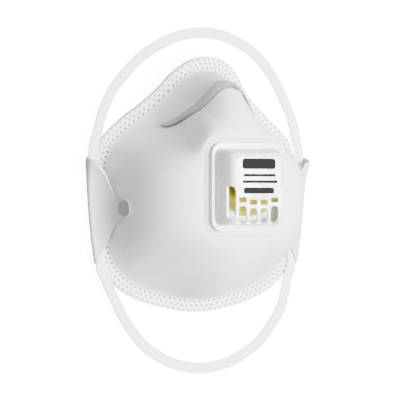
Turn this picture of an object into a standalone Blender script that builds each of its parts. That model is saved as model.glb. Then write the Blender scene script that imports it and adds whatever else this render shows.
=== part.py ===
"""Disposable dust mask: a moulded cup with an exhalation valve, a nose clip and one elastic strap loop.

The mask lies on its rim. +Z points out of the face to the front, +Y is up on the wearer, and left and right
are as seen from the front. Lengths are in metres.
"""

import math

import bmesh
import bpy
import numpy as np
from mathutils import Matrix, Vector

# Rim, as seen from the front
RIM_HALF_WIDTH = 0.0665
RIM_HALF_HEIGHT = 0.070
FLANGE_WIDTH = 0.0068
# Share of the flange that is plain before its corner with the wall
FLANGE_PLAIN = 0.85
# The rim lies flat from the chin to the cheeks and bends up to the nose
NOSE_LIFT = 0.0124
LIFT_START_Y = 0.034
LIFT_BEND = 1.25
# Half of the rim's outline, nose to chin, as shares of the half width and the half height
RIM_SHAPE = (
    (0.0, 1.0), (0.149, 0.98), (0.229, 0.94), (0.334, 0.861), (0.403, 0.781), (0.528, 0.663), (0.696, 0.546),
    (0.856, 0.427), (0.941, 0.336), (0.992, 0.17), (1.00, 0.00), (0.992, -0.243), (0.975, -0.47),
    (0.935, -0.60), (0.88, -0.70), (0.80, -0.78), (0.683, -0.853), (0.55, -0.905), (0.392, -0.949),
    (0.129, -0.996), (0.00, -1.00),
)

# Cup
CUP_DEPTH = 0.050
LAYER_GAP = 0.0003
OUTER_THICKNESS = 0.0004
FILTER_THICKNESS = 0.0004
SUPPORT_THICKNESS = 0.0005
LAYERS_THICKNESS = OUTER_THICKNESS + FILTER_THICKNESS + SUPPORT_THICKNESS + 2 * LAYER_GAP
BOSS_STEP = 0.0012
BOSS_SLOPE = 0.0022
BOSS_MARGIN = 0.0012
# Stations round the cup's wall: angle in degrees from +X to the nose, how far the wall leans in, how high it
# rises before it turns, and how far its crown reaches out from the boss
WALL_STATIONS = (
    (-90, 0.0020, 0.020, 0.0150),
    (-50, 0.0110, 0.018, 0.0090),
    (-22, 0.0028, 0.024, 0.0175),
    (4, 0.0025, 0.024, 0.0180),
    (46, 0.0165, 0.016, 0.0045),
    (68, 0.0110, 0.0185, 0.0105),
    (90, 0.0030, 0.020, 0.0190),
)
CUP_COLUMNS = 64
WALL_ROWS = 7

# Exhalation valve
FIT_GAP = 0.0003
VALVE_Y = -0.0014
FRAME_HALF_WIDTH = 0.0230
FRAME_HALF_HEIGHT = 0.0242
FRAME_CORNER = 0.0068
FRAME_THICKNESS = 0.0020
PORT_HALF_WIDTH = 0.0125
PORT_HALF_HEIGHT = 0.0126
PORT_CORNER = 0.004
PORT_WALL = 0.0014
SEAT_HEIGHT = 0.0010
SPIGOT_REACH = 0.0042
RIB_WIDTH = 0.0012
RING_WIDTH = 0.0042
RING_THICKNESS = 0.0012
HOLE_CLEARANCE = 0.0009
COVER_HALF_WIDTH = 0.0208
COVER_HALF_HEIGHT = 0.0209
COVER_CORNER = 0.0042
COVER_HEIGHT = 0.0108
COVER_DRAFT_X = 0.0040
COVER_DRAFT_Y = 0.0024
COVER_EDGE = 0.0022
COVER_WALL = 0.0012
SLOT_PITCH = 0.0069
SLOT_COLUMNS = 4
SLOT_WIDTH = 0.0053
SHORT_SLOT_HEIGHT = 0.0030
SHORT_SLOT_Y = -0.0096
TALL_SLOT_TOP = -0.0128
SLOT_SMILE = 0.0013
SLOT_DEPTH = 0.0052
CORNER_SLOT_TOP = -0.0008
CORNER_SLOT_WIDTH = 0.0038
FLAP_THICKNESS = 0.0005
FLAP_HALF_WIDTH = 0.0155
FLAP_OVERHANG = 0.0020
FLAP_END_Y = -0.0172
FLAP_END_SAG = 0.0060
HINGE_Y = 0.0147
PIN_SPACING = 0.016
PIN_RADIUS = 0.0009
PIN_HOLE_CLEARANCE = 0.0006
PIN_TOP_CLEARANCE = 0.0014

# Nose clip and nose foam
CLIP_LENGTH = 0.090
CLIP_WIDTH = 0.0049
CLIP_THICKNESS = 0.0008
CLIP_APEX_Z = 0.0328
CLIP_TIP_Z = 0.0065
CLIP_GAP = 0.0007
# The strips' ends: angles from +X where their line starts and where they reach their tip height, in radians,
# and the square of the share of their width that a rounded end keeps
STRIP_START = 0.12 * math.pi
STRIP_TIP_ANGLE = 0.22 * math.pi
STRIP_END_SHARE = 0.06
FOAM_LENGTH = 0.086
FOAM_WIDTH = 0.0095
FOAM_THICKNESS = 0.0036
FOAM_APEX_Z = 0.0215
FOAM_TIP_Z = 0.0090
FOAM_GAP = 0.0012

# Side wings, folded over the strap and welded to the wall
WING_TOP_Y = 0.0165
WING_BOTTOM_Y = -0.0430
# How far the wings' folds stand out past the rim
WING_TOP_OVERHANG = 0.0050
WING_BOTTOM_OVERHANG = 0.0003
WING_TOP_REACH = RIM_HALF_WIDTH + WING_TOP_OVERHANG
WING_BOTTOM_REACH = RIM_HALF_WIDTH + WING_BOTTOM_OVERHANG
WING_THICKNESS = 0.0005
WING_TAPER = 0.62
# How far the middle of the fold bulges out
WING_BULGE = 0.0016
# How far the fold widens and rises towards the upper mouth, and how late it does
WING_FLARE = 0.0026
MOUTH_RISE = 0.0055
FLARE_BEND = 6
# Where the rows of the leaf lie between the fold and the weld, and how straight it runs into the weld
WING_ROWS = (0.14, 0.28, 0.42, 0.56, 0.70, 0.85, 1.0)
WELD_RUN = 0.003
WELD_Y = -0.0135
WELD_Z = 0.0168
WELD_SIZE = 0.0088

# Strap
STRAP_WIDTH = 0.0060
STRAP_THICKNESS = 0.0009
STRAP_CLEARANCE = 0.0004
STRAP_REST_Z = 0.0005
MOUTH_TOP_Y = 0.0175
MOUTH_BOTTOM_Y = -0.0450
TUNNEL_END_GAP = 0.0018
STRAP_GUIDE = 0.0012
# Half of each strap arch, from the right mouth to the middle: X and Y
UPPER_ROUTE = (
    (0.0634, 0.0354), (0.0586, 0.0465), (0.0515, 0.0575), (0.0413, 0.0686), (0.0337, 0.0741),
    (0.0229, 0.0796), (0.0120, 0.0831), (0.0, 0.0843),
)
LOWER_ROUTE = (
    (0.0608, -0.0495), (0.0594, -0.0541), (0.0576, -0.0587), (0.0557, -0.0633), (0.0528, -0.0698),
    (0.0457, -0.0796), (0.0375, -0.0882), (0.0296, -0.0932), (0.0210, -0.0975), (0.0095, -0.1004),
    (0.0, -0.1012),
)
# How far each arch's middle lies to the right, and the length of strap over which it comes to lie there
UPPER_LEAN = 0.0054
UPPER_LEAN_RUN = 0.090
LOWER_LEAN = 0.0040
LOWER_LEAN_RUN = 0.034
STRAP_POINTS = 40
STRAP_HOLD = 0.013
STRAP_DESCENT = 0.024

SEAT_PLANE = CUP_DEPTH
FRAME_BOTTOM = SEAT_PLANE + FIT_GAP
FRAME_TOP = FRAME_BOTTOM + FRAME_THICKNESS
SEAT_TOP = FRAME_TOP + SEAT_HEIGHT
FLAP_BOTTOM = SEAT_TOP + FIT_GAP
HINGE_Z = FLAP_BOTTOM + FLAP_THICKNESS / 2
COVER_BOTTOM = FRAME_TOP + FIT_GAP
SPIGOT_HALF_WIDTH = PORT_HALF_WIDTH + PORT_WALL
SPIGOT_HALF_HEIGHT = PORT_HALF_HEIGHT + PORT_WALL
SPIGOT_CORNER = PORT_CORNER + PORT_WALL
BOSS_HALF_WIDTH = FRAME_HALF_WIDTH + BOSS_MARGIN
BOSS_HALF_HEIGHT = FRAME_HALF_HEIGHT + BOSS_MARGIN
BOSS_CORNER = FRAME_CORNER + BOSS_MARGIN
WING_LEVEL = LAYERS_THICKNESS - WING_THICKNESS / 2
FOLD_RADIUS = (STRAP_THICKNESS + WING_THICKNESS) / 2 + STRAP_CLEARANCE
TUNNEL_Z = WING_LEVEL + FOLD_RADIUS
VALVE_CENTRE = Vector((0, VALVE_Y, 0))

parts = None
cutters = None


def clear_scene():
    for obj in list(bpy.data.objects):
        bpy.data.objects.remove(obj, do_unlink=True)


def new_collection(name):
    collection = bpy.data.collections.new(name)
    bpy.context.scene.collection.children.link(collection)
    return collection


def plain_material(name, colour, roughness, metallic=0.0):
    material = bpy.data.materials.new(name)
    material.use_nodes = True
    shader = material.node_tree.nodes["Principled BSDF"]
    shader.inputs["Base Color"].default_value = (*colour, 1)
    shader.inputs["Roughness"].default_value = roughness
    shader.inputs["Metallic"].default_value = metallic
    material.diffuse_color = (*colour, 1)
    return material


def finish_part(obj, colour, roughness, metallic=0.0, smooth_angle=40):
    """Shades a part and gives it its own material."""
    if obj.type == "MESH":
        obj.data.shade_smooth()
        obj.data.set_sharp_from_angle(angle=math.radians(smooth_angle))
    obj.data.materials.clear()
    obj.data.materials.append(plain_material(obj.name, colour, roughness, metallic))


def skin(name, rows, closed_rows=False, cap_last=False):
    """Open surface over rows of points. Its face shows where each row runs right to left under the last."""
    mesh = bpy.data.meshes.new(name)
    build = bmesh.new()
    grid = [[build.verts.new(point) for point in row] for row in rows]
    for upper, lower in zip(grid, grid[1:]):
        count = len(upper)
        for i in range(count if closed_rows else count - 1):
            k = (i + 1) % count
            build.faces.new((upper[i], upper[k], lower[k], lower[i]))
    if cap_last:
        build.faces.new(grid[-1])
    build.to_mesh(mesh)
    build.free()
    obj = bpy.data.objects.new(name, mesh)
    parts.objects.link(obj)
    return obj


def thicken(obj, thickness, side=-1):
    """side -1 grows the sheet behind its face, 1 in front of it and 0 both ways."""
    solidify = obj.modifiers.new("Thickness", "SOLIDIFY")
    solidify.thickness = thickness
    solidify.offset = side


def move_origin(obj, place):
    """Puts the object's origin at a place and leaves its shape where it is."""
    obj.data.transform(Matrix.Translation(-Vector(place)))
    obj.location = place


def smooth_curve(points, count, closed=False):
    """count points at equal steps along a smooth curve through the given points."""
    knots = np.array(points, float)
    if closed:
        knots = np.vstack([knots[-1:], knots, knots[:2]])
    else:
        knots = np.vstack([2 * knots[0] - knots[1], knots, 2 * knots[-1] - knots[-2]])
    times = np.concatenate([[0], np.cumsum(np.linalg.norm(np.diff(knots, axis=0), axis=1))])
    slopes = (knots[2:] - knots[:-2]) / (times[2:] - times[:-2])[:, None]
    inner, times = knots[1:-1], times[1:-1]
    dense = []
    for i in range(len(inner) - 1):
        span = times[i + 1] - times[i]
        for u in np.linspace(0, 1, 24, endpoint=False):
            start = (1 + 2 * u) * (1 - u) ** 2 * inner[i] + u * (1 - u) ** 2 * span * slopes[i]
            end = u * u * (3 - 2 * u) * inner[i + 1] + u * u * (u - 1) * span * slopes[i + 1]
            dense.append(start + end)
    dense.append(inner[-1])
    dense = np.array(dense)
    run = np.concatenate([[0], np.cumsum(np.linalg.norm(np.diff(dense, axis=0), axis=1))])
    stops = np.linspace(0, run[-1], count, endpoint=not closed)
    return np.stack([np.interp(stops, run, dense[:, k]) for k in range(dense.shape[1])], axis=1)


def rim_lift(y):
    """How far the rim stands off its plane at a height up the mask."""
    share = max(0.0, y - LIFT_START_Y) / (RIM_HALF_HEIGHT - LIFT_START_Y)
    return NOSE_LIFT * share**LIFT_BEND


def rim_outline(count):
    """Outer edge of the rim, anticlockwise from the chin."""
    half = [(x * RIM_HALF_WIDTH, y * RIM_HALF_HEIGHT) for x, y in RIM_SHAPE]
    right = half[::-1]
    left = [(-x, y) for x, y in half[1:-1]]
    return smooth_curve(right + left, count, closed=True)


def inset(outline, distance):
    along = np.roll(outline, -1, axis=0) - np.roll(outline, 1, axis=0)
    along /= np.linalg.norm(along, axis=1)[:, None]
    return outline + distance * np.stack([-along[:, 1], along[:, 0]], axis=1)


def rounded_reach(angle, half_width, half_height, corner):
    """How far a rounded rectangle's edge lies from its centre in a direction."""
    across, up = abs(math.cos(angle)), abs(math.sin(angle))
    if across * (half_height - corner) >= up * half_width:
        return half_width / across
    if up * (half_width - corner) >= across * half_height:
        return half_height / up
    middle = Vector((half_width - corner, half_height - corner))
    near = middle.dot((across, up))
    return near + math.sqrt(max(0.0, near * near - middle.length_squared + corner * corner))


def rounded_outline(half_width, half_height, corner, per_corner=6):
    """Points of a rounded rectangle about the valve's centre, anticlockwise."""
    points = []
    for quarter, (sx, sy) in enumerate(((1, 1), (-1, 1), (-1, -1), (1, -1))):
        for step in range(per_corner):
            angle = math.pi / 2 * (quarter + step / (per_corner - 1))
            x = sx * (half_width - corner) + corner * math.cos(angle)
            y = sy * (half_height - corner) + corner * math.sin(angle)
            points.append((x, VALVE_Y + y))
    return points


RIM_DENSE = rim_outline(720)
FOOT_DENSE = inset(RIM_DENSE, FLANGE_WIDTH)
FOOT_ANGLES = np.unwrap(np.arctan2(FOOT_DENSE[:, 1] - VALVE_Y, FOOT_DENSE[:, 0]))
FOOT_REACHES = np.hypot(FOOT_DENSE[:, 0], FOOT_DENSE[:, 1] - VALVE_Y)


def foot_reach(angle):
    """How far the wall's foot lies from the valve's axis in a direction."""
    turned = FOOT_ANGLES[0] + (angle - FOOT_ANGLES[0]) % (2 * math.pi)
    return float(np.interp(turned, FOOT_ANGLES, FOOT_REACHES, period=2 * math.pi))


def wall_shape(angle):
    """Lean, rise and crown of the wall in a direction, eased between the stations."""
    side = math.degrees(math.asin(max(-1.0, min(1.0, math.sin(angle)))))
    for before, after in zip(WALL_STATIONS, WALL_STATIONS[1:]):
        if side <= after[0]:
            break
    share = (side - before[0]) / (after[0] - before[0])
    eased = share * share * (3 - 2 * share)
    return [a + (b - a) * eased for a, b in zip(before[1:], after[1:])]


def bezier(p0, p1, p2, p3, t):
    s = 1 - t
    return s**3 * p0 + 3 * s * s * t * p1 + 3 * s * t * t * p2 + t**3 * p3


def wall_point(angle, t):
    """A point of the cup's outer face: t is 0 at the wall's foot and 1 at the foot of the boss."""
    lean, rise, crown = wall_shape(angle)
    foot = foot_reach(angle)
    boss = BOSS_SLOPE + rounded_reach(angle, BOSS_HALF_WIDTH, BOSS_HALF_HEIGHT, BOSS_CORNER)
    top = SEAT_PLANE - BOSS_STEP
    reach = bezier(foot, foot - lean, boss + crown, boss, t)
    foot_z = LAYERS_THICKNESS + rim_lift(VALVE_Y + foot * math.sin(angle))
    z = bezier(foot_z, foot_z + rise, top, top, t)
    return VALVE_CENTRE + Vector((reach * math.cos(angle), reach * math.sin(angle), z))


def wall_at_height(angle, z):
    """Where the wall passes a height: (point, direction up the wall, outward normal)."""
    low, high = 0.0, 1.0
    for _ in range(40):
        middle = (low + high) / 2
        if wall_point(angle, middle).z < z:
            low = middle
        else:
            high = middle
    small = 1e-3
    point = wall_point(angle, low)
    up = (wall_point(angle, min(1, low + small)) - wall_point(angle, low - small)).normalized()
    along = wall_point(angle + small, low) - wall_point(angle - small, low)
    return point, up, along.cross(up).normalized()


def cup_rows():
    """Rows of the cup's outer face, from the rim's edge to the valve hole."""
    edge = rim_outline(CUP_COLUMNS)
    foot = inset(edge, FLANGE_WIDTH)
    angles = [math.atan2(y - VALVE_Y, x) for x, y in foot]
    lines = (edge, inset(edge, FLANGE_PLAIN * FLANGE_WIDTH), foot)
    rows = [[(x, y, LAYERS_THICKNESS + rim_lift(y)) for x, y in line] for line in lines]
    for step in range(1, WALL_ROWS + 1):
        rows.append([wall_point(angle, step / WALL_ROWS) for angle in angles])
    hole = SPIGOT_HALF_WIDTH + HOLE_CLEARANCE, SPIGOT_HALF_HEIGHT + HOLE_CLEARANCE, SPIGOT_CORNER
    for size in ((BOSS_HALF_WIDTH, BOSS_HALF_HEIGHT, BOSS_CORNER), hole):
        row = []
        for angle in angles:
            reach = rounded_reach(angle, *size)
            row.append((reach * math.cos(angle), VALVE_Y + reach * math.sin(angle), SEAT_PLANE))
        rows.append(row)
    return rows


def make_layer(name, depth, thickness, colour):
    """One moulded layer of the cup, its outer face a depth below the cup's."""
    layer = skin(name, cup_rows(), closed_rows=True)
    if depth:
        sink = layer.modifiers.new("Depth", "DISPLACE")
        sink.mid_level = 0
        sink.strength = -depth
    thicken(layer, thickness)
    finish_part(layer, colour, 0.9)


def make_cup():
    make_layer("outer_cover", 0, OUTER_THICKNESS, (0.86, 0.87, 0.88))
    depth = OUTER_THICKNESS + LAYER_GAP
    make_layer("filter_layer", depth, FILTER_THICKNESS, (0.90, 0.90, 0.88))
    depth += FILTER_THICKNESS + LAYER_GAP
    make_layer("support_cup", depth, SUPPORT_THICKNESS, (0.88, 0.88, 0.86))


def strip_rows(length, width, apex_z, tip_z, offset, columns, end_round):
    """Three rows of a strip that follows the wall over the nose, offset along the wall's normal."""
    angles = np.linspace(STRIP_START, math.pi - STRIP_START, 241)
    drop = (1 - np.sin(angles)) / (1 - math.sin(STRIP_TIP_ANGLE))
    heights = apex_z + (tip_z - apex_z) * drop
    line = np.array([wall_at_height(a, z)[0] for a, z in zip(angles, heights)])
    run = np.concatenate([[0], np.cumsum(np.linalg.norm(np.diff(line, axis=0), axis=1))])
    run -= run[-1] / 2
    grid = [[], [], []]
    for stop in np.sin(np.linspace(-math.pi / 2, math.pi / 2, columns)):
        angle = float(np.interp(-stop * length / 2, run, angles))
        height = float(np.interp(-stop * length / 2, run, heights))
        up = wall_at_height(angle, height)[1]
        half = width / 2
        left = (1 - abs(stop)) * length / 2
        if left < end_round:
            half *= math.sqrt(max(STRIP_END_SHARE, 1 - (1 - left / end_round) ** 2))
        for row, across in zip(grid, (half, 0, -half)):
            point, _, out = wall_at_height(angle, height + across * up.z)
            row.append(point + offset * out)
    return grid


def make_nose_clip():
    rows = strip_rows(CLIP_LENGTH, CLIP_WIDTH, CLIP_APEX_Z, CLIP_TIP_Z, CLIP_GAP, 43, CLIP_WIDTH / 2)
    clip = skin("nose_clip", rows)
    thicken(clip, CLIP_THICKNESS, 1)
    finish_part(clip, (0.55, 0.56, 0.58), 0.35, 0.6)


def make_nose_foam():
    depth = LAYERS_THICKNESS + FOAM_GAP
    rows = strip_rows(FOAM_LENGTH, FOAM_WIDTH, FOAM_APEX_Z, FOAM_TIP_Z, -depth, 33, 0)
    foam = skin("nose_foam", rows)
    thicken(foam, FOAM_THICKNESS, -1)
    finish_part(foam, (0.80, 0.80, 0.78), 1.0)


def plate(name, outlines, low, high):
    """A flat plate between two heights: the first outline is its edge and the others are holes."""
    curve = bpy.data.curves.new(name, "CURVE")
    curve.dimensions = "2D"
    curve.fill_mode = "BOTH"
    curve.extrude = (high - low) / 2
    for outline in outlines:
        spline = curve.splines.new("POLY")
        spline.points.add(len(outline) - 1)
        for point, (x, y) in zip(spline.points, outline):
            point.co = (x, y, 0, 1)
        spline.use_cyclic_u = True
    shape = bpy.data.objects.new(name, curve)
    shape.location.z = (low + high) / 2
    bpy.context.scene.collection.objects.link(shape)
    bpy.context.view_layer.update()
    flat = bpy.data.meshes.new_from_object(shape.evaluated_get(bpy.context.evaluated_depsgraph_get()))
    build = bmesh.new()
    build.from_mesh(flat)
    bmesh.ops.remove_doubles(build, verts=build.verts, dist=1e-6)
    build.transform(shape.matrix_world)
    build.to_mesh(flat)
    build.free()
    bpy.data.objects.remove(shape)
    flat.name = name
    return bpy.data.objects.new(name, flat)


def as_cutter(obj):
    """Makes an object a hidden helper for a Boolean."""
    cutters.objects.link(obj)
    obj.hide_render = True
    obj.display_type = "WIRE"
    return obj


def combine(target, other, operation, name):
    modifier = target.modifiers.new(name, "BOOLEAN")
    modifier.operation = operation
    modifier.solver = "EXACT"
    modifier.object = other


def box_outline(low_x, low_y, high_x, high_y):
    return [(low_x, low_y), (high_x, low_y), (high_x, high_y), (low_x, high_y)]


def pin(name, x, base_z, top_z):
    build = bmesh.new()
    bmesh.ops.create_cone(
        build, cap_ends=True, segments=12, radius1=PIN_RADIUS, radius2=PIN_RADIUS, depth=top_z - base_z
    )
    bmesh.ops.translate(build, verts=build.verts, vec=(x, HINGE_Y, (base_z + top_z) / 2))
    mesh = bpy.data.meshes.new(name)
    build.to_mesh(mesh)
    build.free()
    return bpy.data.objects.new(name, mesh)


def make_valve_base():
    """Frame on the cup's front, with a seat round the port, a spigot through the cup and two flap pins."""
    frame = rounded_outline(FRAME_HALF_WIDTH, FRAME_HALF_HEIGHT, FRAME_CORNER)
    spigot = rounded_outline(SPIGOT_HALF_WIDTH, SPIGOT_HALF_HEIGHT, SPIGOT_CORNER)
    port = rounded_outline(PORT_HALF_WIDTH, PORT_HALF_HEIGHT, PORT_CORNER)
    base = plate("valve_base", [frame], FRAME_BOTTOM, FRAME_TOP)
    parts.objects.link(base)
    root = (FRAME_BOTTOM + FRAME_TOP) / 2
    bottom = SEAT_PLANE - SPIGOT_REACH
    combine(base, as_cutter(plate("spigot_tube", [spigot], bottom, SEAT_TOP)), "UNION", "Spigot")
    hole = plate("port_hole", [port], bottom - SPIGOT_REACH, SEAT_TOP + SPIGOT_REACH)
    combine(base, as_cutter(hole), "DIFFERENCE", "Port")
    ledge = [box_outline(-FRAME_HALF_WIDTH, HINGE_Y - 3 * PIN_RADIUS, FRAME_HALF_WIDTH, FRAME_HALF_HEIGHT)]
    relief = plate("pin_ledge_relief", ledge, FRAME_TOP, SEAT_TOP + SEAT_HEIGHT)
    combine(base, as_cutter(relief), "DIFFERENCE", "Relief")
    reach_x = PORT_HALF_WIDTH + PORT_WALL / 2
    reach_y = PORT_HALF_HEIGHT + PORT_WALL / 2
    half = RIB_WIDTH / 2
    upright = box_outline(-half, VALVE_Y - reach_y, half, VALVE_Y + reach_y)
    crossbar = box_outline(-reach_x, VALVE_Y - half, reach_x, VALVE_Y + half)
    for name, rib in (("upright_rib", upright), ("cross_rib", crossbar)):
        bar = as_cutter(plate(name, [rib], FRAME_BOTTOM + RIB_WIDTH / 4, FRAME_TOP - RIB_WIDTH / 4))
        combine(base, bar, "UNION", name)
    for side in (-1, 1):
        top = HINGE_Z + PIN_TOP_CLEARANCE
        post = as_cutter(pin(f"flap_pin_{side}", side * PIN_SPACING / 2, root, top))
        combine(base, post, "UNION", "Pin")
    finish_part(base, (0.86, 0.87, 0.86), 0.3)


def make_backing_ring():
    """Ring pressed on the spigot inside the cup, which holds the layers against the frame."""
    gap = FIT_GAP
    inner = rounded_outline(SPIGOT_HALF_WIDTH + gap, SPIGOT_HALF_HEIGHT + gap, SPIGOT_CORNER + gap)
    width = gap + RING_WIDTH
    outer = rounded_outline(SPIGOT_HALF_WIDTH + width, SPIGOT_HALF_HEIGHT + width, SPIGOT_CORNER + width)
    top = SEAT_PLANE - LAYERS_THICKNESS - FIT_GAP
    ring = plate("valve_backing_ring", [outer, inner], top - RING_THICKNESS, top)
    parts.objects.link(ring)
    finish_part(ring, (0.88, 0.88, 0.86), 0.4)


def make_valve_flap():
    """Soft flap over the seat, hung on the two pins, with its origin on its bending line."""
    top = HINGE_Y + FLAP_OVERHANG
    outline = [(FLAP_HALF_WIDTH, top), (-FLAP_HALF_WIDTH, top)]
    for step in range(9):
        share = -1 + step / 4
        outline.append((share * FLAP_HALF_WIDTH, FLAP_END_Y + FLAP_END_SAG * share * share))
    holes = []
    reach = PIN_RADIUS + PIN_HOLE_CLEARANCE
    for side in (-1, 1):
        ring = [2 * math.pi * k / 12 for k in range(12)]
        centre = side * PIN_SPACING / 2
        holes.append([(centre + reach * math.cos(a), HINGE_Y + reach * math.sin(a)) for a in ring])
    flap = plate("valve_flap", [outline] + holes, FLAP_BOTTOM, FLAP_BOTTOM + FLAP_THICKNESS)
    parts.objects.link(flap)
    finish_part(flap, (0.62, 0.46, 0.06), 0.45)
    move_origin(flap, (0, HINGE_Y, HINGE_Z))


def cover_rows():
    """Rows of the cover's outer face, from its foot to the flat of its front."""
    rows = []
    wall_top = COVER_HEIGHT - COVER_EDGE
    levels = [(0.0, 0.0), (COVER_WALL, 0.0), (wall_top, 0.0)]
    for step in range(1, 4):
        angle = math.pi / 2 * step / 3
        levels.append((wall_top + COVER_EDGE * math.sin(angle), COVER_EDGE * (1 - math.cos(angle))))
    for height, inward in levels:
        share = max(0.0, height - COVER_WALL) / (COVER_HEIGHT - COVER_WALL)
        half_width = COVER_HALF_WIDTH - COVER_DRAFT_X * share - inward
        half_height = COVER_HALF_HEIGHT - COVER_DRAFT_Y * share - inward
        outline = rounded_outline(half_width, half_height, COVER_CORNER)
        rows.append([(x, y, COVER_BOTTOM + height) for x, y in outline])
    return rows


def slot_cutter(name, low_x, low_y, high_x, high_y, depth):
    """A rounded slot that cuts down from above the cover's front."""
    front = COVER_BOTTOM + COVER_HEIGHT
    corner = min(high_x - low_x, high_y - low_y) / 3
    middle_x, middle_y = (low_x + high_x) / 2, (low_y + high_y) / 2
    outline = rounded_outline((high_x - low_x) / 2, (high_y - low_y) / 2, corner, per_corner=3)
    moved = [(x + middle_x, y - VALVE_Y + middle_y) for x, y in outline]
    return as_cutter(plate(name, [moved], front - depth, front + COVER_WALL))


def make_valve_cover():
    """Drafted cover with a grille of slots low on its front."""
    cover = skin("valve_cover", cover_rows(), closed_rows=True, cap_last=True)
    thicken(cover, COVER_WALL)
    below = VALVE_Y - COVER_HALF_HEIGHT - COVER_WALL
    half = SLOT_WIDTH / 2
    middle = (SLOT_COLUMNS - 1) / 2
    found = []
    for column in range(SLOT_COLUMNS):
        x = (column - middle) * SLOT_PITCH
        lift = SLOT_SMILE * ((column - middle) / middle) ** 2
        short = SHORT_SLOT_Y + lift
        high = short + SHORT_SLOT_HEIGHT / 2
        low = short - SHORT_SLOT_HEIGHT / 2
        found.append(slot_cutter(f"short_slot_{column}", x - half, low, x + half, high,
                                 2 * COVER_WALL))
        top = TALL_SLOT_TOP + lift
        found.append(slot_cutter(f"tall_slot_{column}", x - half, below, x + half, top, SLOT_DEPTH))
    inner = middle * SLOT_PITCH + half + SLOT_PITCH - SLOT_WIDTH
    for side in (-1, 1):
        low, high = sorted((side * inner, side * (inner + 2 * CORNER_SLOT_WIDTH)))
        found.append(slot_cutter(f"corner_slot_{side}", low, VALVE_Y - COVER_HALF_HEIGHT + COVER_CORNER,
                                 high, CORNER_SLOT_TOP, CORNER_SLOT_WIDTH))
    for cutter in found:
        combine(cover, cutter, "DIFFERENCE", cutter.name)
    finish_part(cover, (0.82, 0.83, 0.80), 0.3)


def rim_edge_x(y):
    """How far the rim's right edge lies from the middle at a height up the mask."""
    right = RIM_DENSE[RIM_DENSE[:, 0] >= 0]
    right = right[np.argsort(right[:, 1])]
    return float(np.interp(y, right[:, 1], right[:, 0]))


def wing_share(y):
    """Where a height up the mask lies along the wing: 0 at its lower mouth and 1 at its upper one."""
    return (y - WING_BOTTOM_Y) / (WING_TOP_Y - WING_BOTTOM_Y)


def fold_line(y):
    """How far the fold would lie from the middle without its flare."""
    return WING_BOTTOM_REACH + wing_share(y) * (WING_TOP_REACH - WING_BOTTOM_REACH)


def weld_place(side):
    """Where a wing is welded to the wall: (point, direction up the wall, outward normal)."""
    angle = math.atan2(WELD_Y - VALVE_Y, RIM_HALF_WIDTH - FLANGE_WIDTH)
    if side < 0:
        angle = math.pi - angle
    return wall_at_height(angle, WELD_Z)


def make_wing(name, side):
    """A leaf of the rim that runs out, folds back over the strap and narrows to a weld on the wall."""
    columns = [-1 + k / 4 for k in range(9)]
    middle_y = (WING_TOP_Y + WING_BOTTOM_Y) / 2
    half = (WING_TOP_Y - WING_BOTTOM_Y) / 2
    ys = [middle_y + half * v for v in columns]
    inner = FIT_GAP + WING_THICKNESS / 2
    rows = [[Vector((side * (rim_edge_x(y) + inner), y, WING_LEVEL)) for y in ys]]
    for step in range(6):
        angle = math.pi * (step / 5 - 0.5)
        row = []
        for y in ys:
            share = wing_share(y)
            flare = share**FLARE_BEND
            radius = FOLD_RADIUS + flare * MOUTH_RISE / 2
            bulge = 4 * share * (1 - share) * WING_BULGE
            x = fold_line(y) + bulge + flare * WING_FLARE - radius + radius * math.cos(angle)
            row.append(Vector((side * x, y, WING_LEVEL + radius + radius * math.sin(angle))))
        rows.append(row)
    weld, up, out = weld_place(side)
    place = weld + (CLIP_GAP + WING_THICKNESS / 2) * out
    along = up.cross(out) * side
    foot = place - up * WELD_SIZE / 2
    tip_half = WELD_SIZE / 2
    starts = rows[-1]
    for w in WING_ROWS:
        row = []
        spread = (1 - w) ** WING_TAPER
        for v, start in zip(columns, starts):
            y = (1 - spread) * foot.y + spread * middle_y + v * (tip_half + (half - tip_half) * spread)
            end = foot + along * v * tip_half
            x = bezier(start.x, start.x - side * STRAP_WIDTH, end.x - up.x * WELD_RUN, end.x, w)
            z = bezier(start.z, start.z, end.z - up.z * WELD_RUN, end.z, w)
            row.append(Vector((x, y, z)))
        rows.append(row)
    for climb, width in ((0.35, 1.0), (0.7, 1.0), (1.0, 0.5)):
        rows.append([foot + up * climb * WELD_SIZE + along * v * width * tip_half for v in columns])
    if side < 0:
        rows = [row[::-1] for row in rows]
    wing = skin(name, rows[::-1])
    thicken(wing, WING_THICKNESS, 0)
    finish_part(wing, (0.80, 0.81, 0.81), 0.95)


def strap_curve(name, points, origin):
    """A flat band along points, with its broad side up."""
    curve = bpy.data.curves.new(name, "CURVE")
    curve.dimensions = "3D"
    curve.twist_mode = "Z_UP"
    curve.extrude = STRAP_WIDTH / 2 - STRAP_THICKNESS / 2
    curve.bevel_depth = STRAP_THICKNESS / 2
    curve.bevel_resolution = 1
    curve.use_fill_caps = True
    spline = curve.splines.new("POLY")
    spline.points.add(len(points) - 1)
    for target, place in zip(spline.points, points):
        target.co = (*(Vector(place) - Vector(origin)), 1)
        target.tilt = math.pi / 2
    strap = bpy.data.objects.new(name, curve)
    strap.location = origin
    parts.objects.link(strap)
    finish_part(strap, (0.90, 0.90, 0.88), 0.8)
    return strap


def strap_x(y):
    """How far the strap's middle lies from the mask's middle inside a wing's tunnel."""
    return fold_line(y) - WING_THICKNESS / 2 - STRAP_CLEARANCE - STRAP_WIDTH / 2


def eased(share):
    """A share from 0 to 1 that starts and ends gently."""
    share = max(0.0, min(1.0, share))
    return share * share * (3 - 2 * share)


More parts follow.
